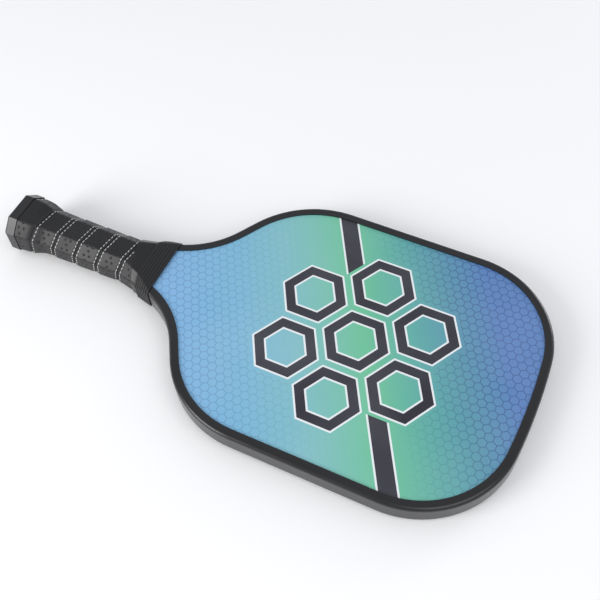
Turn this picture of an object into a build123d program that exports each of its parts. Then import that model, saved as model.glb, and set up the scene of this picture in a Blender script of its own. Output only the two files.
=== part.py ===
from build123d import *
import os
from math import acos, asin, atan2, cos, degrees, hypot, pi, sin, sqrt, tau

# Pickleball paddle: a honeycomb sandwich blade with a moulded edge guard, and an octagonal
# handle built from two glued shells, a butt cap, a wound cushion grip and a ribbed collar.
# Millimetres. The origin is the centre of the butt end. +X runs along the handle to the
# head's tip, +Z comes out of the front face and the middle of the blade is at Z = 0.

# Blade outline
overall_length = 404.0
overall_width = 200.0
crown_radius = 450.0        # slight bow of the head's end
corner_radius = 69.0
shoulder_radius = 73.5
throat_radius = 66.0
throat_straight = 15.3      # straight stretch between shoulder and throat curves
neck_half_width = 20.4      # outside the guard, where the throat runs parallel to the handle
neck_setback = 23.4         # from that place to the handle's head end

# Blade sandwich
core_thickness = 13.0
cell_pitch = 12.0
cell_wall = 0.4
core_rim = 0.8              # fused rim round the cut edge of the core
smallest_cell_area = 3.0    # cut cells smaller than this are left solid
scrim_thickness = 0.15
skin_thickness = 0.45
film_thickness = 0.15

# Edge guard
guard_wall = 1.3
guard_lip = 6.5             # reach of each lip over the face, from the guard's outside
guard_lip_thickness = 1.0
guard_outer_round = 2.6
bond_strip_thickness = 0.4
bond_strip_width = 12.0

# Handle
handle_length = 128.0       # butt end to the collar's head edge
shell_half_width = 15.4
shell_half_thickness = 12.6
shell_bevel = 7.7
shell_mouth_half_thickness = 9.6
shell_mouth_bevel = 3.0
flare_length = 23.0         # stretch over which the shells spread to the throat
shell_setback = 7.0         # shells stop this far short of the collar's head edge
guard_setback = 6.5         # so does each end of the guard
shell_neck_share = 0.6      # how far the section has changed where the collar starts
tang_half_width = 12.4
tang_taper = 10.0           # length over which the blade narrows to the tang
tang_start = 5.0

# Butt cap
cap_end_wall = 3.0
cap_flange_length = 8.5
cap_flange_half_width = 20.4
cap_flange_half_thickness = 17.6
cap_flange_bevel = 9.0
cap_rim_round = 1.8
cap_seat_drop = 1.9         # step down from the flange to the grip's seat
cap_skirt_bulge_end = 19.0
cap_skirt_end = 29.0
cap_skirt_edge = 0.5
cap_bulge_drop = 0.5

# Staples that hold the cap
staple_x = 14.0
staple_crown = 10.0
staple_wire = 0.8
staple_leg = 7.0
staple_sink = 0.25
staple_clearance = 0.05

# Grip
foam_thickness = 1.0
leather_thickness = 0.6
grip_pitch = 18.9           # helix lead of the wound tape
grip_setback = 9.0          # tape stops this far short of the collar's head edge
stitch_inset = 1.95         # from a tape edge to its row of stitches
stitch_pitch = 3.3
stitch_length = 2.1
stitch_width = 0.6
stitch_height = 0.2
stitch_lift = 0.1
first_seam = 24.3           # where the first seam crosses the middle of the front facet
seam_count = 5

# Finishing tape and collar
vinyl_thickness = 0.3
vinyl_start = 104.0         # where the slanted edge crosses the handle's axis
vinyl_slant = 7.0           # how far that edge leans, from one side to the other
collar_length = 13.5
collar_wall = 1.1
collar_head_bevel = 2.5
rib_count = 7
rib_groove_width = 0.75
rib_groove_depth = 0.45

glue_gap = 0.05             # left between curved faces that are glued or stretched on

# Worked out from the sizes above
core_half = core_thickness / 2
scrim_top = core_half + scrim_thickness
skin_top = scrim_top + skin_thickness
face_top = skin_top + film_thickness
guard_half = face_top + guard_lip_thickness
panel_inset = guard_wall + glue_gap + bond_strip_thickness + glue_gap
collar_start = handle_length - collar_length
shell_end = handle_length - shell_setback
guard_end = handle_length - guard_setback
grip_end = handle_length - grip_setback
flare_start = shell_end - flare_length
neck_x = handle_length - neck_setback
grip_thickness = foam_thickness + leather_thickness + 2 * glue_gap
wrap_thickness = grip_thickness + vinyl_thickness + glue_gap


# Outline of the blade. Every inset curve shares its centres with the outside curve.
def throat_angle():
    """Steepest slope of the blade's edge, from how far it must rise between neck and side."""
    rise = overall_width / 2 - neck_half_width
    arcs = shoulder_radius + throat_radius
    lean = atan2(throat_straight, arcs)
    return acos((arcs - rise) / hypot(arcs, throat_straight)) - lean


slope = throat_angle()
throat_centre = (neck_x, neck_half_width + throat_radius)
crown_centre_x = overall_length - crown_radius
corner_centre_y = overall_width / 2 - corner_radius
corner_reach = sqrt((crown_radius - corner_radius) ** 2 - corner_centre_y ** 2)
corner_centre = (crown_centre_x + corner_reach, corner_centre_y)
shoulder_centre = (
    neck_x + (throat_radius + shoulder_radius) * sin(slope) + throat_straight * cos(slope),
    overall_width / 2 - shoulder_radius,
)
crown_angle = atan2(corner_centre_y, corner_reach)


def edge_half_width(x, inset=0.0):
    """Half width of the blade at x, on the throat's curve."""
    radius = throat_radius + inset
    return throat_centre[1] - radius * cos(asin((x - neck_x) / radius))


def throat_point(x, inset):
    return (x, edge_half_width(x, inset))


def side_curves(inset, x_end):
    """The +Y side of the outline, from the corner round to x_end."""
    outward = (-sin(slope), cos(slope))
    shoulder = shoulder_radius - inset
    throat = throat_radius + inset
    side_y = overall_width / 2 - inset
    foot = tuple(shoulder_centre[i] + shoulder * outward[i] for i in (0, 1))
    heel = tuple(throat_centre[i] - throat * outward[i] for i in (0, 1))
    steep = degrees(slope)
    shallow = degrees(asin((x_end - neck_x) / throat))
    return [
        CenterArc(corner_centre, corner_radius - inset, degrees(crown_angle),
                  90 - degrees(crown_angle)),
        Line((corner_centre[0], side_y), (shoulder_centre[0], side_y)),
        CenterArc(shoulder_centre, shoulder, 90, steep),
        Line(foot, heel),
        CenterArc(throat_centre, throat, shallow - 90, steep - shallow),
    ]


def closed_face(curves):
    """A face from the +Y curves, their mirror images and what crosses the axis."""
    half, across = curves
    return make_face(half + [mirror(c, about=Plane.XZ) for c in half] + across)


def crown_curve(inset):
    return CenterArc((crown_centre_x, 0), crown_radius - inset, -degrees(crown_angle),
                     2 * degrees(crown_angle))


def head_face(inset, x_end):
    """The head alone, cut straight across at x_end."""
    half_width = edge_half_width(x_end, inset)
    end = Line((x_end, half_width), (x_end, -half_width))
    return closed_face((side_curves(inset, x_end), [crown_curve(inset), end]))


def panel_face(inset, clearance=0.0):
    """The head with the tang that runs into the handle."""
    neck = throat_point(guard_end, inset)
    tang_half = tang_half_width + clearance
    tang_x = guard_end - tang_taper
    taper = Line(neck, (tang_x, tang_half))
    side = Line((tang_x, tang_half), (tang_start - clearance, tang_half))
    end = Line((tang_start - clearance, tang_half), (tang_start - clearance, -tang_half))
    half = side_curves(inset, guard_end) + [taper, side]
    return closed_face((half, [crown_curve(inset), end]))


def slab(face, low, high):
    """A face in XY as a solid from low to high in Z."""
    return extrude(Pos(0, 0, low) * face, amount=high - low)


# Handle sections: (x, half width, half thickness, bevel), the same eight corners each time.
def octagon(x, half_width, half_thickness, bevel):
    side = half_thickness - bevel
    top = half_width - bevel
    corners = [(half_width, side), (top, half_thickness), (-top, half_thickness),
               (-half_width, side), (-half_width, -side), (-top, -half_thickness),
               (top, -half_thickness), (half_width, -side)]
    return [(x, y, z) for y, z in corners]


def octagon_wire(section):
    return Wire.make_polygon(octagon(*section), close=True)


def tube(sections):
    """A solid through the sections, with straight sides between them."""
    return Solid.make_loft([octagon_wire(s) for s in sections], True)


def grown(sections, amount):
    """Every section made larger by amount all round, its eight sides kept parallel."""
    bevel_share = 2 - sqrt(2)
    return [(x, w + amount, t + amount, b + amount * bevel_share) for x, w, t, b in sections]


def between(sections, x):
    """The section at x, part way between its neighbours."""
    for low, high in zip(sections, sections[1:]):
        if low[0] <= x <= high[0]:
            share = (x - low[0]) / (high[0] - low[0])
            return (x, *[a + (b - a) * share for a, b in zip(low[1:], high[1:])])
    raise ValueError(f"no section at {x}")


def trimmed(sections, low, high):
    """The sections from low to high, with new ones at both ends."""
    inside = [s for s in sections if low < s[0] < high]
    return [between(sections, low), *inside, between(sections, high)]


def shell_profile():
    straight = (shell_half_width, shell_half_thickness, shell_bevel)
    mouth_width = edge_half_width(shell_end) - wrap_thickness
    middle_width = edge_half_width(collar_start) - wrap_thickness
    share = (collar_start - flare_start) / flare_length
    change = share * shell_neck_share
    middle_thickness = shell_half_thickness + change * (
        shell_mouth_half_thickness - shell_half_thickness)
    middle_bevel = shell_bevel + change * (shell_mouth_bevel - shell_bevel)
    return [
        (cap_end_wall, *straight),
        (flare_start, *straight),
        (collar_start, middle_width, middle_thickness, middle_bevel),
        (shell_end, mouth_width, shell_mouth_half_thickness, shell_mouth_bevel),
    ]


def seat_profile():
    """What the grip is wound on: the cap's skirt, then the shells."""
    seat = (cap_flange_half_width - cap_seat_drop, cap_flange_half_thickness - cap_seat_drop,
            cap_flange_bevel - cap_seat_drop * (2 - sqrt(2)))
    bulge = tuple(size - cap_bulge_drop for size in seat[:2])
    shells = shell_profile()
    skirt_edge = grown([between(shells, cap_skirt_end)], cap_skirt_edge)[0]
    landing = cap_skirt_end + 2 * cap_skirt_edge
    return [
        (cap_flange_length, *seat),
        (cap_skirt_bulge_end, *bulge, seat[2]),
        skirt_edge,
        *trimmed(shells, landing, shell_end),
    ]


shells = shell_profile()
seat = seat_profile()


# Blade pieces
def cell_centres():
    """Centres of a hexagonal grid that covers the panel."""
    row_step = cell_pitch * sqrt(3) / 2
    rows = int(overall_width / 2 / row_step) + 1
    columns = int(overall_length / cell_pitch) + 2
    for row in range(-rows, rows + 1):
        shift = cell_pitch / 2 if row % 2 else 0
        for column in range(columns):
            yield (column * cell_pitch + shift, row * row_step)


def cell_outlines(boundary):
    """Hexagonal cells inside the boundary, and those that it cuts."""
    corner = (cell_pitch - cell_wall) / sqrt(3)
    turns = [pi / 6 + k * tau / 6 for k in range(6)]
    for x, y in cell_centres():
        points = [Vector(x + corner * cos(a), y + corner * sin(a)) for a in turns]
        inside = sum(boundary.is_inside(p) for p in points)
        if not inside:
            continue
        cell = Wire.make_polygon(points, close=True)
        if inside == len(points):
            yield cell
            continue
        for piece in (Face(cell) & boundary).faces():
            if piece.area > smallest_cell_area:
                yield piece.outer_wire()


def honeycomb_core():
    outside = panel_face(panel_inset)
    boundary = panel_face(panel_inset + core_rim, -core_rim).face()
    cells = list(cell_outlines(boundary))
    return slab(Face(outside.face().outer_wire(), cells), -core_half, core_half)


def layer(low, high):
    return slab(panel_face(panel_inset), low, high)


def print_film(low, high):
    return slab(head_face(panel_inset, guard_end), low, high)


def edge_guard():
    body = slab(head_face(0, guard_end), -guard_half, guard_half)
    rims = body.edges().group_by(Axis.Z)
    rims = [e for e in rims[0] + rims[-1] if e.center().X > guard_end + glue_gap]
    body = fillet(rims, guard_outer_round)
    body -= slab(head_face(guard_lip, guard_end), -guard_half - 1, guard_half + 1)
    body -= slab(head_face(guard_wall, guard_end), -face_top, face_top)
    return body


def edge_bond_strip():
    outside = guard_wall + glue_gap
    strip = head_face(outside, guard_end) - head_face(outside + bond_strip_thickness, guard_end)
    return slab(strip, -bond_strip_width / 2, bond_strip_width / 2)


# Handle pieces
def staple(side, clearance=0.0):
    """One staple across the skirt, side +1 on the front and -1 on the back."""
    surface = between(seat, staple_x)[2] - staple_sink
    wire = staple_wire + 2 * clearance
    crown = Pos(staple_x, 0, surface - staple_wire / 2) * Box(
        wire, staple_crown + 2 * clearance, wire)
    leg_y = (staple_crown - staple_wire) / 2
    leg_z = surface - staple_leg / 2
    legs = [Pos(staple_x, y, leg_z) * Box(wire, wire, staple_leg + 2 * clearance)
            for y in (-leg_y, leg_y)]
    whole = crown + legs[0] + legs[1]
    return whole if side > 0 else mirror(whole, about=Plane.XY)


def handle_shell(side):
    """Half of the handle, hollowed to fit over the tang."""
    reach = 2 * overall_width
    half = Pos(0, 0, side * reach / 2) * Box(reach, reach, reach)
    body = tube(shells) & half
    body -= slab(panel_face(0, glue_gap), -skin_top, skin_top)
    return body - staple(side, staple_clearance)


def butt_cap():
    flange = extrude(Plane.YZ * Polygon(*[(y, z) for _, y, z in octagon(
        0, cap_flange_half_width, cap_flange_half_thickness, cap_flange_bevel)],
        align=None), amount=cap_flange_length)
    rim = flange.edges().group_by(Axis.X)[0]
    flange = fillet(rim, cap_rim_round)
    skirt = tube(trimmed(seat, cap_flange_length, cap_skirt_end))
    bore = grown([between(shells, cap_end_wall)] * 2, glue_gap)
    bore = [bore[0], (cap_skirt_end + 1, *bore[1][1:])]
    body = flange + skirt - tube(bore)
    for side in (1, -1):
        body -= staple(side, staple_clearance)
    return body


def sleeve(inner_offset, thickness, low, high):
    """A layer of the grip: a tube that follows the seat."""
    sections = trimmed(seat, low, high)
    return tube(grown(sections, inner_offset + thickness)) - tube(grown(sections, inner_offset))


def grip_foam():
    return sleeve(glue_gap, foam_thickness, cap_flange_length + glue_gap, grip_end)


def grip_leather():
    return sleeve(foam_thickness + 2 * glue_gap, leather_thickness,
                  cap_flange_length + glue_gap, grip_end)


def wrap_frame(x, share):
    """Place on the grip's outside, a share of the way round at x, and the direction round it."""
    corners = octagon(*grown([between(seat, x)], grip_thickness)[0])
    ring = [Vector(*c) for c in corners] + [Vector(*corners[0])]
    lengths = [(b - a).length for a, b in zip(ring, ring[1:])]
    travel = (share % 1) * sum(lengths)
    for (a, b), length in zip(zip(ring, ring[1:]), lengths):
        if travel <= length:
            margin = stitch_length / 2 + stitch_lift
            along = min(max(travel, margin), length - margin)
            return a + (b - a) * (along / length), (b - a).normalized()
        travel -= length
    return ring[0], (ring[1] - ring[0]).normalized()


def grip_threads():
    """The two sewn rows, one along each edge of the wound tape, as separate stitches."""
    stitches = []
    section = grown([between(seat, flare_start)], grip_thickness)[0]
    corners = [Vector(*c) for c in octagon(*section)]
    girth = sum((a - b).length for a, b in zip(corners, corners[1:] + corners[:1]))
    per_turn = int(girth / stitch_pitch)
    front_middle = ((corners[0] - corners[1]).length + (corners[1] - corners[2]).length / 2) / girth
    for row in (-stitch_inset, stitch_inset):
        for number in range(-per_turn // 2, per_turn * seam_count):
            turn = number / per_turn
            x = first_seam + row + turn * grip_pitch
            low = cap_flange_length + stitch_inset
            if not low < x < vinyl_start - vinyl_slant - stitch_inset:
                continue
            place, along = wrap_frame(x, front_middle - turn)
            ahead, _ = wrap_frame(x + 1, front_middle - turn)
            normal = along.cross((ahead - place).normalized())
            outward = Vector(0, place.Y, place.Z)
            if normal.dot(outward) < 0:
                normal = -normal
            plane = Plane(origin=place + normal * (stitch_lift + stitch_height / 2),
                          x_dir=along, z_dir=normal)
            stitches.append(plane * Box(stitch_length, stitch_width, stitch_height))
    return Compound(children=stitches)


def finishing_tape():
    low = vinyl_start - vinyl_slant
    body = sleeve(grip_thickness + glue_gap, vinyl_thickness, low, grip_end)
    reach = edge_half_width(shell_end)
    tall = 2 * cap_flange_half_width
    slant = Polygon((low - 1, -reach - 1), (vinyl_start + vinyl_slant, -reach - 1),
                    (vinyl_start - vinyl_slant, reach + 1), (low - 1, reach + 1), align=None)
    return body - slab(slant, -tall, tall)


def collar_profile():
    """Outside of the collar, from its handle edge to its head edge."""
    sections = grown([between(shells, collar_start), between(shells, shell_end)],
                     wrap_thickness + collar_wall)
    head = (handle_length, edge_half_width(handle_length) + collar_wall,
            guard_half + collar_wall, collar_head_bevel)
    return [*sections, head]


def collar():
    outside = collar_profile()
    body = tube(outside)
    pitch = collar_length / rib_count
    core = tube(grown(outside, -rib_groove_depth))
    tall = 2 * overall_width
    for rib in range(1, rib_count):
        x = collar_start + rib * pitch
        ring = Pos(x, 0, 0) * Box(rib_groove_width, tall, tall)
        body -= ring - core
    wrapped = grown(trimmed(seat, flare_start, shell_end), wrap_thickness)
    body -= tube(wrapped)
    body -= slab(head_face(-glue_gap, shell_end - 1), -guard_half - glue_gap,
                 guard_half + glue_gap)
    return body


pieces = {
    "honeycomb_core": honeycomb_core(),
    "front_scrim": layer(core_half, scrim_top),
    "back_scrim": layer(-scrim_top, -core_half),
    "front_skin": layer(scrim_top, skin_top),
    "back_skin": layer(-skin_top, -scrim_top),
    "front_print_film": print_film(skin_top, face_top),
    "back_print_film": print_film(-face_top, -skin_top),
    "edge_guard": edge_guard(),
    "edge_bond_strip": edge_bond_strip(),
    "front_handle_shell": handle_shell(1),
    "back_handle_shell": handle_shell(-1),
    "butt_cap": butt_cap(),
    "butt_cap_staples": Compound(children=[staple(1), staple(-1)]),
    "grip_foam": grip_foam(),
    "grip_leather": grip_leather(),
    "grip_threads": grip_threads(),
    "finishing_tape": finishing_tape(),
    "collar": collar(),
}

os.makedirs("parts", exist_ok=True)
for name, shape in pieces.items():
    export_step(shape, f"parts/{name}.step")
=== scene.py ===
import math
import bmesh
import bpy
import numpy as np
from mathutils import Matrix, Vector


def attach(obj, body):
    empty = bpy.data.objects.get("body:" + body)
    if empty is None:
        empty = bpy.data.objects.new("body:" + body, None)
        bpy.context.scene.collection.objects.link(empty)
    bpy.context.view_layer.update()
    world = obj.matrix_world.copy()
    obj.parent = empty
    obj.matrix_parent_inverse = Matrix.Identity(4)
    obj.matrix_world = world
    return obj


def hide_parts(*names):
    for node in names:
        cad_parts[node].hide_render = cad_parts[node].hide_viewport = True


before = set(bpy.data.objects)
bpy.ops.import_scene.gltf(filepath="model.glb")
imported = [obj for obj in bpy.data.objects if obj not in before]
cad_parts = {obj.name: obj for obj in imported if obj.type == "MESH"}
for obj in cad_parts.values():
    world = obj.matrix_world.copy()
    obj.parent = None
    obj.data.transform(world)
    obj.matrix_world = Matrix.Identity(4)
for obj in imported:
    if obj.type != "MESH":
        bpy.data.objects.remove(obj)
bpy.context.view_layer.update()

mm = 0.001    # sizes below are in millimetres unless a line says otherwise
print("frame loaded:", len(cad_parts), "nodes")

# camera, floor and lights
view = {    # place in metres, then the camera's three directions
    "place": (0.4005, -0.2952, 0.52725),
    "right": (0.9020, 0.4298, -0.0420),
    "up": (-0.3345, 0.7568, 0.5616),
    "back": (0.2731, -0.4925, 0.8264),
    "lens": 54.0,
}
rest = {    # where the paddle touches the floor (x, z), and the floor's side in metres
    "buttEdge": (8.5, -17.6), "headEdge": (401.4, -8.25), "floorSize": 8.0,
}
studio = {    # places and sizes in metres
    "sky": (0.93, 0.95, 1.0), "skyStrength": 0.6,
    "key": {"place": (-0.65, -1.05, 0.65), "size": 0.8, "power": 13.5, "colour": (1.0, 0.99, 0.97)},
    "fill": {"place": (1.2, -0.5, 1.6), "size": 1.4, "power": 9.5, "colour": (0.98, 0.99, 1.0)},
    "rim": {"place": (0.9, 1.3, 0.35), "size": 0.5, "power": 4.0, "colour": (1.0, 1.0, 1.0)},
}


def linear(red, green, blue):
    def curve(c):
        c = c / 255
        return c / 12.92 if c <= 0.04045 else ((c + 0.055) / 1.055) ** 2.4
    return (curve(red), curve(green), curve(blue), 1.0)


def addCamera():
    camera = bpy.data.objects.new("camera", bpy.data.cameras.new("camera"))
    camera.data.lens = view["lens"]
    camera.data.sensor_width = 36
    camera.data.clip_start = 0.01
    turn = Matrix((view["right"], view["up"], view["back"])).transposed().to_4x4()
    camera.matrix_world = Matrix.Translation(view["place"]) @ turn
    bpy.context.scene.collection.objects.link(camera)
    bpy.context.scene.camera = camera


def addFloor():
    (x0, z0), (x1, z1) = rest["buttEdge"], rest["headEdge"]
    slope = (z1 - z0) / (x1 - x0)
    half = rest["floorSize"] / 2
    mesh = bpy.data.meshes.new("floor")
    corners = [(x, y, z0 * mm + (x - x0 * mm) * slope)
               for x, y in ((-half, -half), (half, -half), (half, half), (-half, half))]
    mesh.from_pydata(corners, [], [(0, 1, 2, 3)])
    floor = bpy.data.objects.new("floor", mesh)
    bpy.context.scene.collection.objects.link(floor)
    material, nodes, links, shader = newMaterial("floorPaint")
    shader.inputs["Base Color"].default_value = linear(252, 252, 252)
    shader.inputs["Roughness"].default_value = 0.6
    floor.data.materials.append(material)


def addLight(name, light, target=Vector((0.2, 0.0, 0.0))):
    lamp = bpy.data.lights.new(name, "AREA")
    lamp.size = light["size"]
    lamp.energy = light["power"]
    lamp.color = light["colour"]
    holder = bpy.data.objects.new(name, lamp)
    place = Vector(light["place"])
    aim = (place - target).to_track_quat("Z", "Y").to_matrix().to_4x4()
    holder.matrix_world = Matrix.Translation(place) @ aim
    bpy.context.scene.collection.objects.link(holder)


def addSky():
    world = bpy.data.worlds.new("studioSky")
    world.use_nodes = True
    background = world.node_tree.nodes["Background"]
    background.inputs["Color"].default_value = (*studio["sky"], 1)
    background.inputs["Strength"].default_value = studio["skyStrength"]
    bpy.context.scene.world = world
    bpy.context.scene.view_settings.view_transform = "Standard"


# shader building blocks
def newMaterial(name):
    material = bpy.data.materials.new(name)
    material.use_nodes = True
    tree = material.node_tree
    return material, tree.nodes, tree.links, tree.nodes["Principled BSDF"]


def mathNode(nodes, links, operation, *values):
    node = nodes.new("ShaderNodeMath")
    node.operation = operation
    for socket, value in zip(node.inputs, values):
        if isinstance(value, bpy.types.NodeSocket):
            links.new(value, socket)
        else:
            socket.default_value = value
    return node.outputs[0]


def vectorNode(nodes, links, operation, *values):
    node = nodes.new("ShaderNodeVectorMath")
    node.operation = operation
    for socket, value in zip(node.inputs, values):
        if isinstance(value, bpy.types.NodeSocket):
            links.new(value, socket)
        else:
            socket.default_value = value
    return node.outputs["Value" if operation in ("LENGTH", "DOT_PRODUCT") else "Vector"]


def mixColour(nodes, links, factor, first, second):
    node = nodes.new("ShaderNodeMix")
    node.data_type = "RGBA"
    for socket, value in ((node.inputs[0], factor), (node.inputs[6], first), (node.inputs[7], second)):
        if isinstance(value, bpy.types.NodeSocket):
            links.new(value, socket)
        else:
            socket.default_value = value
    return node.outputs[2]


def spread(nodes, links, value, low, high, outLow=0.0, outHigh=1.0):
    node = nodes.new("ShaderNodeMapRange")
    links.new(value, node.inputs["Value"])
    for name, number in (("From Min", low), ("From Max", high), ("To Min", outLow), ("To Max", outHigh)):
        node.inputs[name].default_value = number
    return node.outputs["Result"]


def newGroup(name, inputs, outputs):
    tree = bpy.data.node_groups.new(name, "ShaderNodeTree")
    for label, value in inputs.items():
        kind = "NodeSocketVector" if isinstance(value, tuple) else "NodeSocketFloat"
        tree.interface.new_socket(label, in_out="INPUT", socket_type=kind).default_value = value
    for label in outputs:
        tree.interface.new_socket(label, in_out="OUTPUT", socket_type="NodeSocketFloat")
    return tree, tree.nodes, tree.links, tree.nodes.new("NodeGroupInput"), tree.nodes.new("NodeGroupOutput")


def placeGroup(nodes, tree, **values):
    node = nodes.new("ShaderNodeGroup")
    node.node_tree = tree
    for label, value in values.items():
        node.inputs[label].default_value = value
    return node


# nearest cell of a regular honeycomb: distance to its wall, and of its centre from the origin
def makeHoneycombGroup():
    tree, nodes, links, source, sink = newGroup(
        "honeycombCells", {"Pitch": 6.0, "Turn": 0.0, "Centre": (0.0, 0.0, 0.0)}, ["Wall", "Reach"])
    place = nodes.new("ShaderNodeTexCoord").outputs["Object"]
    scaled = vectorNode(nodes, links, "MULTIPLY", place, (1000, 1000, 0))
    shifted = vectorNode(nodes, links, "SUBTRACT", scaled, source.outputs["Centre"])
    rotate = nodes.new("ShaderNodeVectorRotate")
    rotate.rotation_type = "Z_AXIS"
    links.new(shifted, rotate.inputs["Vector"])
    links.new(source.outputs["Turn"], rotate.inputs["Angle"])
    point = rotate.outputs[0]
    pitch = source.outputs["Pitch"]
    halfTile = nodes.new("ShaderNodeCombineXYZ")
    links.new(mathNode(nodes, links, "MULTIPLY", pitch, 0.5), halfTile.inputs[0])
    links.new(mathNode(nodes, links, "MULTIPLY", pitch, math.sqrt(3) / 2), halfTile.inputs[1])
    halfTile.inputs[2].default_value = 1
    low = vectorNode(nodes, links, "MULTIPLY", halfTile.outputs[0], (-1, -1, -1))
    first = vectorNode(nodes, links, "WRAP", point, halfTile.outputs[0], low)
    moved = vectorNode(nodes, links, "SUBTRACT", point, halfTile.outputs[0])
    second = vectorNode(nodes, links, "WRAP", moved, halfTile.outputs[0], low)
    flat = (1, 1, 0)
    first = vectorNode(nodes, links, "MULTIPLY", first, flat)
    second = vectorNode(nodes, links, "MULTIPLY", second, flat)
    firstFar = vectorNode(nodes, links, "LENGTH", first)
    secondFar = vectorNode(nodes, links, "LENGTH", second)
    pick = mathNode(nodes, links, "LESS_THAN", secondFar, firstFar)
    mix = nodes.new("ShaderNodeMix")
    mix.data_type = "VECTOR"
    links.new(pick, mix.inputs[0])
    links.new(first, mix.inputs[4])
    links.new(second, mix.inputs[5])
    local = mix.outputs[1]
    parts = nodes.new("ShaderNodeSeparateXYZ")
    links.new(vectorNode(nodes, links, "ABSOLUTE", local), parts.inputs[0])
    slanted = mathNode(nodes, links, "ADD", mathNode(nodes, links, "MULTIPLY", parts.outputs[0], 0.5),
                       mathNode(nodes, links, "MULTIPLY", parts.outputs[1], math.sqrt(3) / 2))
    furthest = mathNode(nodes, links, "MAXIMUM", parts.outputs[0], slanted)
    half = mathNode(nodes, links, "MULTIPLY", pitch, 0.5)
    links.new(mathNode(nodes, links, "SUBTRACT", half, furthest), sink.inputs["Wall"])
    flatPoint = vectorNode(nodes, links, "MULTIPLY", point, flat)
    centre = vectorNode(nodes, links, "SUBTRACT", flatPoint, local)
    links.new(vectorNode(nodes, links, "LENGTH", centre), sink.inputs["Reach"])
    return tree


# fine noise for grain, and a broad one for handling marks
def makeGrainGroup():
    tree, nodes, links, source, sink = newGroup(
        "surfaceGrain", {"Grain": 900.0, "Patches": 18.0}, ["Height", "Marks"])
    place = nodes.new("ShaderNodeTexCoord").outputs["Object"]
    fine = nodes.new("ShaderNodeTexNoise")
    fine.inputs["Detail"].default_value = 4
    links.new(place, fine.inputs["Vector"])
    links.new(source.outputs["Grain"], fine.inputs["Scale"])
    pebble = nodes.new("ShaderNodeTexVoronoi")
    pebble.feature = "SMOOTH_F1"
    links.new(place, pebble.inputs["Vector"])
    links.new(source.outputs["Grain"], pebble.inputs["Scale"])
    links.new(mathNode(nodes, links, "ADD", fine.outputs[0], pebble.outputs["Distance"]),
              sink.inputs["Height"])
    broad = nodes.new("ShaderNodeTexNoise")
    broad.inputs["Detail"].default_value = 6
    links.new(place, broad.inputs["Vector"])
    links.new(source.outputs["Patches"], broad.inputs["Scale"])
    links.new(spread(nodes, links, broad.outputs[0], 0.35, 0.7), sink.inputs["Marks"])
    return tree


honeycombGroup = makeHoneycombGroup()
grainGroup = makeGrainGroup()


def addBump(nodes, links, shader, height, strength, distance):
    bump = nodes.new("ShaderNodeBump")
    bump.inputs["Strength"].default_value = strength
    bump.inputs["Distance"].default_value = distance
    links.new(height, bump.inputs["Height"])
    links.new(bump.outputs[0], shader.inputs["Normal"])


def plainMaterial(name, light, dark, rough, grain=900.0, patches=18.0, bump=0.15, depth=0.00005,
                  metallic=0.0, coat=0.0):
    material, nodes, links, shader = newMaterial(name)
    group = placeGroup(nodes, grainGroup, Grain=grain, Patches=patches)
    colour = mixColour(nodes, links, group.outputs["Marks"], dark, light)
    edges = nodes.new("ShaderNodeNewGeometry").outputs["Pointiness"]
    worn = spread(nodes, links, edges, 0.52, 0.62, 0.0, 0.25)    # sharp edges are rubbed a little paler
    colour = mixColour(nodes, links, worn, colour, tuple(min(1, c * 2.2) for c in light[:3]) + (1,))
    links.new(colour, shader.inputs["Base Color"])
    links.new(spread(nodes, links, group.outputs["Marks"], 0, 1, rough - 0.05, rough + 0.07),
              shader.inputs["Roughness"])
    shader.inputs["Metallic"].default_value = metallic
    shader.inputs["Coat Weight"].default_value = coat
    shader.inputs["Coat Roughness"].default_value = 0.2
    addBump(nodes, links, shader, group.outputs["Height"], bump, depth)
    return material


# printed face
printLook = {
    "blend": [(0.0, (125, 176, 221)), (0.2, (123, 180, 212)), (0.37, (127, 187, 193)),
              (0.55, (106, 192, 150)), (0.70, (92, 168, 165)), (0.79, (89, 151, 170)),
              (0.92, (88, 128, 186))],
    "middle": 285.5, "blendStart": -137.0, "blendLength": 247.0, "blendTurn": 30.0,
    "meshPitch": 6.05, "meshLine": 0.26,
    "charcoal": (40, 38, 50), "piping": (232, 236, 238),
    "cellPitch": 48.0, "cellGap": 2.2, "cellBand": 6.5, "pipingWidth": 1.3,
    "stripeHalf": 7.0,
}


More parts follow.
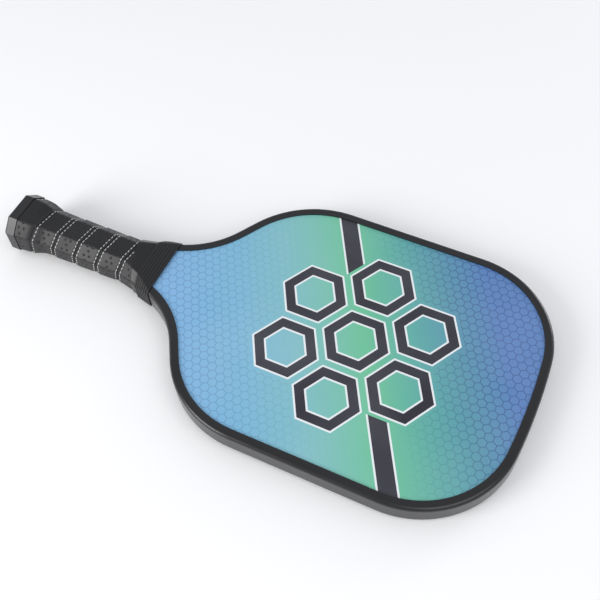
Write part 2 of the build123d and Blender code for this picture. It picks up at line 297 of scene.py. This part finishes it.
def makePrint():
    material, nodes, links, shader = newMaterial("printedFace")
    look = printLook
    place = vectorNode(nodes, links, "MULTIPLY", nodes.new("ShaderNodeTexCoord").outputs["Object"],
                       (1000, 1000, 0))
    place = vectorNode(nodes, links, "SUBTRACT", place, (look["middle"], 0, 0))
    turn = math.radians(look["blendTurn"])
    along = vectorNode(nodes, links, "DOT_PRODUCT", place, (math.cos(turn), math.sin(turn), 0))
    ramp = nodes.new("ShaderNodeValToRGB")
    stops = ramp.color_ramp.elements
    for (position, colour), stop in zip(look["blend"], [stops[0], stops[1]] + [None] * 9):
        stop = stop or stops.new(position)
        stop.position = position
        stop.color = linear(*colour)
    start = look["blendStart"]
    links.new(spread(nodes, links, along, start, start + look["blendLength"]), ramp.inputs[0])
    # fine mesh: dark lines, strongest at both ends of the head
    mesh = placeGroup(nodes, honeycombGroup, Pitch=look["meshPitch"], Centre=(look["middle"], 0, 0))
    line = spread(nodes, links, mesh.outputs["Wall"], look["meshLine"] * 0.6, look["meshLine"] * 1.6, 1, 0)
    tip = spread(nodes, links, along, 10, 70, 0.0, 0.9)
    heel = spread(nodes, links, along, -110, -30, 0.55, 0.0)
    strength = mathNode(nodes, links, "ADD", tip, heel)
    line = mathNode(nodes, links, "MULTIPLY", line, strength)
    deep = mixColour(nodes, links, 0.65, ramp.outputs[0], linear(22, 50, 108))
    colour = mixColour(nodes, links, line, ramp.outputs[0], deep)
    # broad stripe and a rosette of open cells, each band piped on both sides
    across = mathNode(nodes, links, "ABSOLUTE", along)
    piping, charcoal = linear(*look["piping"]), linear(*look["charcoal"])
    pipe = look["pipingWidth"]
    stripe = mathNode(nodes, links, "LESS_THAN", across, look["stripeHalf"])
    core = mathNode(nodes, links, "LESS_THAN", across, look["stripeHalf"] - pipe)
    colour = mixColour(nodes, links, stripe, colour, piping)
    colour = mixColour(nodes, links, core, colour, charcoal)
    cells = placeGroup(nodes, honeycombGroup, Pitch=look["cellPitch"], Turn=math.pi / 6,
                       Centre=(look["middle"] - 8, 0, 0))
    near = mathNode(nodes, links, "LESS_THAN", cells.outputs["Reach"], look["cellPitch"] * 1.2)
    wall = cells.outputs["Wall"]
    outer, inner = look["cellGap"], look["cellGap"] + look["cellBand"] + 2 * pipe

    def band(low, high):
        inside = mathNode(nodes, links, "MULTIPLY", mathNode(nodes, links, "GREATER_THAN", wall, low),
                          mathNode(nodes, links, "LESS_THAN", wall, high))
        return mathNode(nodes, links, "MULTIPLY", inside, near)
    clear = mathNode(nodes, links, "MULTIPLY", near, mathNode(nodes, links, "GREATER_THAN", wall, 0.0))
    colour = mixColour(nodes, links, clear, colour, ramp.outputs[0])
    colour = mixColour(nodes, links, band(outer, inner), colour, piping)
    colour = mixColour(nodes, links, band(outer + pipe, inner - pipe), colour, charcoal)
    group = placeGroup(nodes, grainGroup, Grain=1400.0, Patches=14.0)
    colour = mixColour(nodes, links, mathNode(nodes, links, "MULTIPLY", group.outputs["Marks"], 0.05),
                       colour, linear(225, 235, 240))
    links.new(colour, shader.inputs["Base Color"])
    links.new(spread(nodes, links, group.outputs["Marks"], 0, 1, 0.36, 0.46), shader.inputs["Roughness"])
    grain = mathNode(nodes, links, "MULTIPLY", group.outputs["Height"], 0.5)
    height = mathNode(nodes, links, "ADD", grain, line)
    addBump(nodes, links, shader, height, 0.12, 0.00004)
    return material


# meshes that follow the handle
gripShape = {    # stations: x, half width, half thickness, bevel
    "stations": [(8.6, 20.2, 17.4, 8.9), (19.0, 19.7, 16.9, 8.9), (29.0, 17.5, 14.7, 8.9),
                 (31.0, 17.1, 14.3, 8.7), (98.0, 17.1, 14.3, 8.7), (114.5, 20.8, 13.0, 6.7),
                 (119.0, 21.7, 11.8, 4.9)],
    "cornerRadius": 4.0, "step": 0.5, "around": 212, "wall": 1.5, "fineAround": 420,
}
tapeWind = {
    "pitch": 18.9, "seamAt": 29.9, "girth": 105.0,
    "grooveDepth": 1.1, "grooveWidth": 0.85, "overlap": 0.45,
    "stitchInset": 1.95, "stitchDip": 0.2, "stitchPitch": 3.0, "singleRowBelow": 30.0,
    "stitchSize": (2.3, 0.52, 0.4),
    "rowPitch": 3.8, "pairOffset": 2.2, "holeRadius": 0.6, "holeDepth": 0.5, "pitSpread": 1.15,
    "edgeMargin": 1.5, "stitchLift": 0.08, "holeDiscHeight": 0.12,
}
tapeEnd = {    # the edge leans by slant over halfWidth each side of the middle
    "middle": 104.0, "slant": 7.0, "halfWidth": 22, "end": 119.0,
    "lift": 0.34, "sink": 0.6, "edgeShare": 0.35, "rise": 14, "rings": 40,
}
collarShape = {
    "stations": [(114.5, 22.25, 14.45, 7.5), (121.0, 23.6, 12.75, 4.9), (128.0, 25.7, 9.4, 2.6)],
    "ribs": 7, "ribDepth": 0.6, "cornerRadius": 2.6, "wall": 1.0, "around": 180, "alongCount": 98,
}


def octagonRing(halfWidth, halfThickness, bevel, radius, count):
    side, top = halfThickness - bevel, halfWidth - bevel
    corners = np.array([(halfWidth, side), (top, halfThickness), (-top, halfThickness),
                        (-halfWidth, side), (-halfWidth, -side), (-top, -halfThickness),
                        (top, -halfThickness), (halfWidth, -side)])
    path = [(halfWidth, 0.0)]
    for before, here, after in zip(np.roll(corners, 1, 0), corners, np.roll(corners, -1, 0)):
        back = (before - here) / np.linalg.norm(before - here)
        ahead = (after - here) / np.linalg.norm(after - here)
        reach = radius * math.tan(math.radians(22.5))
        for share in np.linspace(0, 1, 7):
            a = here + back * reach * (1 - share)
            b = here + ahead * reach * share
            path.append(tuple(a + (b - a) * share))
    path.append((halfWidth, 0.0))
    path = np.array(path)
    lengths = np.concatenate([[0], np.cumsum(np.linalg.norm(np.diff(path, axis=0), axis=1))])
    places = np.arange(count) / count * lengths[-1]
    ring = np.stack([np.interp(places, lengths, path[:, k]) for k in (0, 1)], 1)
    tangent = np.roll(ring, -1, 0) - np.roll(ring, 1, 0)
    normal = np.stack([tangent[:, 1], -tangent[:, 0]], 1)
    normal /= np.linalg.norm(normal, axis=1)[:, None]
    return ring, normal


def sectionAt(stations, x, soften=2.5):
    table = np.array(stations)
    sample = np.linspace(x - soften, x + soften, 9)
    return [float(np.mean(np.interp(sample, table[:, 0], table[:, k]))) for k in (1, 2, 3)]


def windAt(x, share):
    travel = (x - tapeWind["seamAt"]) / tapeWind["pitch"] + share
    turn = np.floor(travel)
    return (travel - turn) * tapeWind["pitch"], tapeWind["girth"] * (share - turn)


def windRelief(x, share):
    across, along = windAt(x, share)
    pitch = tapeWind["pitch"]
    seam = np.minimum(across, pitch - across)
    groove = tapeWind["grooveDepth"] * np.exp(-(seam / tapeWind["grooveWidth"]) ** 2)
    rows = tapeWind["stitchDip"] * np.exp(-((seam - tapeWind["stitchInset"]) / 0.4) ** 2)
    lean = tapeWind["overlap"] * (across / pitch)
    row = np.round(along / tapeWind["rowPitch"])
    middle = np.abs(across - pitch / 2)
    sideways = np.where(row % 2 == 0, np.abs(middle - tapeWind["pairOffset"]), middle)
    far = np.hypot(sideways, along - row * tapeWind["rowPitch"])
    pit = np.exp(-(far / (tapeWind["holeRadius"] * tapeWind["pitSpread"])) ** 4)
    # the second value marks the perforation pits and seam grooves; it is used only to paint shade into the
    # leather colour
    return -groove - rows - lean - tapeWind["holeDepth"] * pit, np.maximum(pit, groove)


def closedShell(name, outerRows, innerRows, material):
    rows = outerRows + innerRows[::-1]
    count = len(rows[0])
    total = len(rows)
    points = np.concatenate(rows) * mm
    faces = [(i * count + j, i * count + (j + 1) % count,
              (i + 1) % total * count + (j + 1) % count, (i + 1) % total * count + j)
             for i in range(total) for j in range(count)]
    mesh = bpy.data.meshes.new(name)
    mesh.from_pydata(points.tolist(), [], faces)
    shell = bmesh.new()
    shell.from_mesh(mesh)
    bmesh.ops.recalc_face_normals(shell, faces=shell.faces)
    shell.to_mesh(mesh)
    shell.free()
    mesh.polygons.foreach_set("use_smooth", [True] * len(mesh.polygons))
    mesh.materials.append(material)
    piece = bpy.data.objects.new(name, mesh)
    bpy.context.scene.collection.objects.link(piece)
    return piece


def rowAt(x, section, radius, count, lift):
    ring, normal = octagonRing(*section, radius, count)
    ring = ring + normal * np.reshape(lift, (-1, 1))
    return np.column_stack([np.broadcast_to(x, (count,)), ring])


def makeGrip(material):
    count = gripShape["around"]
    share = np.arange(count) / count
    first, last = gripShape["stations"][0][0], gripShape["stations"][-1][0]
    outer, inner, pits = [], [], []
    for x in np.arange(first, last, gripShape["step"]):
        relief, pit = windRelief(x, share)
        section = sectionAt(gripShape["stations"], x)
        outer.append(rowAt(x, section, gripShape["cornerRadius"], count, relief))
        pits.append(pit)
    for x in np.arange(first, last, gripShape["step"] * 8):
        section = sectionAt(gripShape["stations"], x)
        inner.append(rowAt(x, section, gripShape["cornerRadius"], count, -gripShape["wall"] * np.ones(count)))
    piece = closedShell("woundGrip", outer, inner, material)
    # the pit attribute carries that mask of painted shade in the pits and seam grooves
    depth = piece.data.attributes.new("pit", "FLOAT", "POINT")
    values = np.concatenate(pits + [np.zeros(count)] * len(inner))
    depth.data.foreach_set("value", values.astype(np.float32))
    return piece


# a place on the wound tape: its point, outward direction and the way the tape runs
def tapePoint(across, along, lift):
    share = (along / tapeWind["girth"]) % 1
    fine = gripShape["fineAround"]
    x = tapeWind["seamAt"] + across - tapeWind["pitch"] * along / tapeWind["girth"]
    ring, normal = octagonRing(*sectionAt(gripShape["stations"], x), gripShape["cornerRadius"], fine)
    index = int(round(share * fine)) % fine
    relief = float(windRelief(x, share)[0])
    out = normal[index]
    point = ring[index] + out * (relief + lift)
    tangent = ring[(index + 1) % fine] - ring[index - 1]
    lean = -tapeWind["pitch"] / tapeWind["girth"] * np.linalg.norm(tangent)
    run = np.array([lean, *tangent])
    return (x, *point), (0.0, *out), tuple(run / np.linalg.norm(run))


def tapePlaces(rows, spacing, lift, lastRowHidden=False):
    first, last = gripShape["stations"][0][0], tapeEnd["middle"]
    places = []
    turns = int((last - first) / tapeWind["pitch"]) + 4
    steps = int(turns * tapeWind["girth"] / spacing)
    for step in range(-steps, steps):
        along = step * spacing
        for across in rows(step):
            x = tapeWind["seamAt"] + across - tapeWind["pitch"] * along / tapeWind["girth"]
            if not first + tapeWind["edgeMargin"] < x < last + tapeEnd["slant"]:
                continue
            point, out, run = tapePoint(across, along, lift)
            edge = last - tapeEnd["slant"] * point[1] / tapeEnd["halfWidth"]
            covered = lastRowHidden and across > tapeWind["pitch"] / 2 and x < tapeWind["singleRowBelow"]
            if x < edge - 1.0 and not covered:
                places.append((point, out, run))
    return places


# geometry nodes: one small solid on every point, turned to the surface
def repeatOnPoints(name, places, size, material, kind):
    mesh = bpy.data.meshes.new(name)
    mesh.from_pydata([tuple(c * mm for c in point) for point, _, _ in places], [], [])
    for label, index in (("outward", 1), ("run", 2)):
        data = mesh.attributes.new(label, "FLOAT_VECTOR", "POINT")
        data.data.foreach_set("vector", np.array([p[index] for p in places], dtype=np.float32).ravel())
    carrier = bpy.data.objects.new(name, mesh)
    bpy.context.scene.collection.objects.link(carrier)
    tree = bpy.data.node_groups.new(name + "Nodes", "GeometryNodeTree")
    tree.interface.new_socket("Geometry", in_out="INPUT", socket_type="NodeSocketGeometry")
    tree.interface.new_socket("Geometry", in_out="OUTPUT", socket_type="NodeSocketGeometry")
    sockets = {label: tree.interface.new_socket(label, in_out="INPUT", socket_type="NodeSocketFloat")
               for label in ("Length", "Width", "Height")}
    nodes, links = tree.nodes, tree.links
    source, sink = nodes.new("NodeGroupInput"), nodes.new("NodeGroupOutput")
    if kind == "bead":
        solid = nodes.new("GeometryNodeMeshUVSphere")
        solid.inputs["Segments"].default_value = 8
        solid.inputs["Rings"].default_value = 5
        solid.inputs["Radius"].default_value = 0.5
    else:
        solid = nodes.new("GeometryNodeMeshCylinder")
        solid.inputs["Vertices"].default_value = 10
        solid.inputs["Radius"].default_value = 0.5
        solid.inputs["Depth"].default_value = 1.0
    outward, run = nodes.new("GeometryNodeInputNamedAttribute"), nodes.new("GeometryNodeInputNamedAttribute")
    for node, label in ((outward, "outward"), (run, "run")):
        node.data_type = "FLOAT_VECTOR"
        node.inputs["Name"].default_value = label
    stand = nodes.new("FunctionNodeAlignRotationToVector")
    stand.axis = "Z"
    swing = nodes.new("FunctionNodeAlignRotationToVector")
    swing.axis = "X"
    swing.pivot_axis = "Z"
    scale = nodes.new("ShaderNodeCombineXYZ")
    instance = nodes.new("GeometryNodeInstanceOnPoints")
    realize = nodes.new("GeometryNodeRealizeInstances")
    paint = nodes.new("GeometryNodeSetMaterial")
    paint.inputs["Material"].default_value = material
    for k, label in enumerate(("Length", "Width", "Height")):
        links.new(source.outputs[label], scale.inputs[k])
    links.new(outward.outputs["Attribute"], stand.inputs["Vector"])
    links.new(stand.outputs[0], swing.inputs["Rotation"])
    links.new(run.outputs["Attribute"], swing.inputs["Vector"])
    links.new(source.outputs["Geometry"], instance.inputs["Points"])
    links.new(solid.outputs["Mesh"], instance.inputs["Instance"])
    links.new(swing.outputs[0], instance.inputs["Rotation"])
    links.new(scale.outputs[0], instance.inputs["Scale"])
    links.new(instance.outputs[0], realize.inputs[0])
    links.new(realize.outputs[0], paint.inputs["Geometry"])
    links.new(paint.outputs[0], sink.inputs[0])
    modifier = carrier.modifiers.new("repeat", "NODES")
    modifier.node_group = tree
    for value, socket in zip(size, sockets.values()):
        modifier[socket.identifier] = value * mm
    evaluated = carrier.evaluated_get(bpy.context.evaluated_depsgraph_get())
    result = bpy.data.meshes.new_from_object(evaluated)
    carrier.modifiers.clear()
    carrier.data = result
    if not result.materials:
        result.materials.append(material)
    result.polygons.foreach_set("use_smooth", [True] * len(result.polygons))
    return carrier


def makeTapeEnd(material):
    count = gripShape["around"]
    outer, inner = [], []
    base, _ = octagonRing(*sectionAt(gripShape["stations"], tapeEnd["middle"]),
                          gripShape["cornerRadius"], count)
    start = tapeEnd["middle"] - tapeEnd["slant"] * base[:, 0] / tapeEnd["halfWidth"]
    for share in np.linspace(0, 1, tapeEnd["rings"]):
        top = tapeEnd["lift"] * min(1, tapeEnd["edgeShare"] + share * tapeEnd["rise"])
        for rows, lift in ((outer, top), (inner, -tapeEnd["sink"])):
            row = []
            xs = start + (tapeEnd["end"] - start) * share
            for x in np.unique(np.round(xs, 3)):
                section = sectionAt(gripShape["stations"], x)
                ring, normal = octagonRing(*section, gripShape["cornerRadius"], count)
                for j in np.where(np.abs(xs - x) < 6e-4)[0]:
                    row.append((j, (xs[j], *(ring[j] + normal[j] * lift))))
            row.sort(key=lambda item: item[0])
            rows.append(np.array([p for _, p in {j: (j, p) for j, p in row}.values()]))
    return closedShell("tapeEnd", outer, inner, material)


def makeCollar(material):
    shape = collarShape
    first, last = shape["stations"][0][0], shape["stations"][-1][0]
    length = last - first
    outer, inner = [], []
    for share in np.linspace(0, 1, shape["alongCount"]):
        x = first + share * length
        wave = math.cos(share * shape["ribs"] * math.tau + math.pi) * 0.5 + 0.5
        lift = -shape["ribDepth"] * (1 - wave ** 0.45)
        section = sectionAt(shape["stations"], x, 0.4)
        ones = np.ones(shape["around"])
        outer.append(rowAt(x, section, shape["cornerRadius"], shape["around"], lift * ones))
        if round(share * (shape["alongCount"] - 1)) % 8 == 0 or share == 1:
            inner.append(rowAt(x, section, shape["cornerRadius"], shape["around"], -shape["wall"] * ones))
    return closedShell("ribbedCollar", outer, inner, material)


def makeGripLeather():
    material, nodes, links, shader = newMaterial("gripLeather")
    group = placeGroup(nodes, grainGroup, Grain=1500.0, Patches=30.0)
    colour = mixColour(nodes, links, group.outputs["Marks"], linear(17, 17, 19), linear(28, 28, 31))
    # painted shade: the leather colour darkens to near black in the perforation pits and seam grooves
    pit = nodes.new("ShaderNodeAttribute")
    pit.attribute_name = "pit"
    colour = mixColour(nodes, links, spread(nodes, links, pit.outputs["Fac"], 0.3, 0.9), colour,
                       linear(8, 8, 9))
    links.new(colour, shader.inputs["Base Color"])
    links.new(spread(nodes, links, group.outputs["Marks"], 0, 1, 0.38, 0.52), shader.inputs["Roughness"])
    addBump(nodes, links, shader, group.outputs["Height"], 0.5, 0.00012)
    return material


addCamera()
addFloor()
addSky()
for lampName in ("key", "fill", "rim"):
    addLight(lampName, studio[lampName])
print("camera, floor and lights placed")

black, soft = linear(24, 24, 26), linear(33, 33, 35)
finishes = {
    "front_print_film": makePrint(),
    "edge_guard": plainMaterial("guardPlastic", linear(23, 23, 26), linear(15, 15, 17), 0.28, 1800.0,
                                bump=0.06, coat=0.2),
    "butt_cap": plainMaterial("capPlastic", soft, black, 0.3, 1200.0, bump=0.1),
    "honeycomb_core": plainMaterial("corePlastic", linear(225, 227, 224), linear(205, 207, 204), 0.5),
    "front_scrim": plainMaterial("scrimCloth", linear(214, 216, 212), linear(190, 192, 188), 0.8, 2500.0),
    "front_skin": plainMaterial("faceLaminate", linear(52, 52, 56), linear(30, 30, 33), 0.35, 700.0,
                                coat=0.3),
    "edge_bond_strip": plainMaterial("bondStrip", linear(226, 218, 190), linear(205, 196, 165), 0.5),
    "front_handle_shell": plainMaterial("shellPlastic", linear(60, 60, 62), linear(44, 44, 46), 0.55),
    "butt_cap_staples": plainMaterial("stapleWire", linear(190, 190, 192), linear(150, 150, 152), 0.3,
                                      metallic=1.0),
}
# the back of the blade and the second shell repeat the front's finishes
for twin, original in (("back_print_film", "front_print_film"), ("back_scrim", "front_scrim"),
                       ("back_skin", "front_skin"), ("back_handle_shell", "front_handle_shell")):
    finishes[twin] = finishes[original]
for node, finish in finishes.items():
    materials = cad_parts[node].data.materials
    if not materials:
        materials.append(finish)
    for k in range(len(materials)):
        materials[k] = finish
print("finishes on the carried nodes")

leather = makeGripLeather()
thread = plainMaterial("sewingThread", linear(226, 226, 224), linear(190, 190, 188), 0.7, 4000.0)
# hole discs: the foam under each perforation, coloured darker than the tape as painted shade inside the hole
holeDark = plainMaterial("holeDark", linear(14, 14, 15), linear(8, 8, 8), 0.8)
tapeGloss = plainMaterial("smoothTape", linear(24, 24, 26), linear(17, 17, 19), 0.32, 600.0, bump=0.05)
rubber = plainMaterial("collarRubber", linear(26, 26, 28), linear(17, 17, 19), 0.45, 1600.0)

grip = makeGrip(leather)
pitch = tapeWind["pitch"]
inset = tapeWind["stitchInset"]
stitches = repeatOnPoints(
    "gripStitches",
    tapePlaces(lambda step: (inset, pitch - inset), tapeWind["stitchPitch"], tapeWind["stitchLift"], True),
    tapeWind["stitchSize"], thread, "bead")
pair = tapeWind["pairOffset"]
# dark discs in the perforations: real foam beneath, made darker as painted shade
holes = repeatOnPoints(
    "gripHoles",
    tapePlaces(lambda step: (pitch / 2 - pair, pitch / 2 + pair) if step % 2 == 0 else (pitch / 2,),
               tapeWind["rowPitch"], 0.0),
    (2 * tapeWind["holeRadius"], 2 * tapeWind["holeRadius"], tapeWind["holeDiscHeight"]), holeDark, "disc")
print("grip wound:", len(stitches.data.polygons), "stitch faces,", len(holes.data.polygons), "hole faces")
tapeEndPiece = makeTapeEnd(tapeGloss)
collarPiece = makeCollar(rubber)
print("tape end and collar made")

for piece, slotName, nodes in (
        (grip, "grip_leather", ("grip_leather", "grip_foam")), (stitches, "thread", ("grip_threads",)),
        (holes, "foam", ()), (tapeEndPiece, "tape", ("finishing_tape",)),
        (collarPiece, "collar_rubber", ("collar",))):
    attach(piece, "root")
    if nodes:
        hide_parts(*nodes)
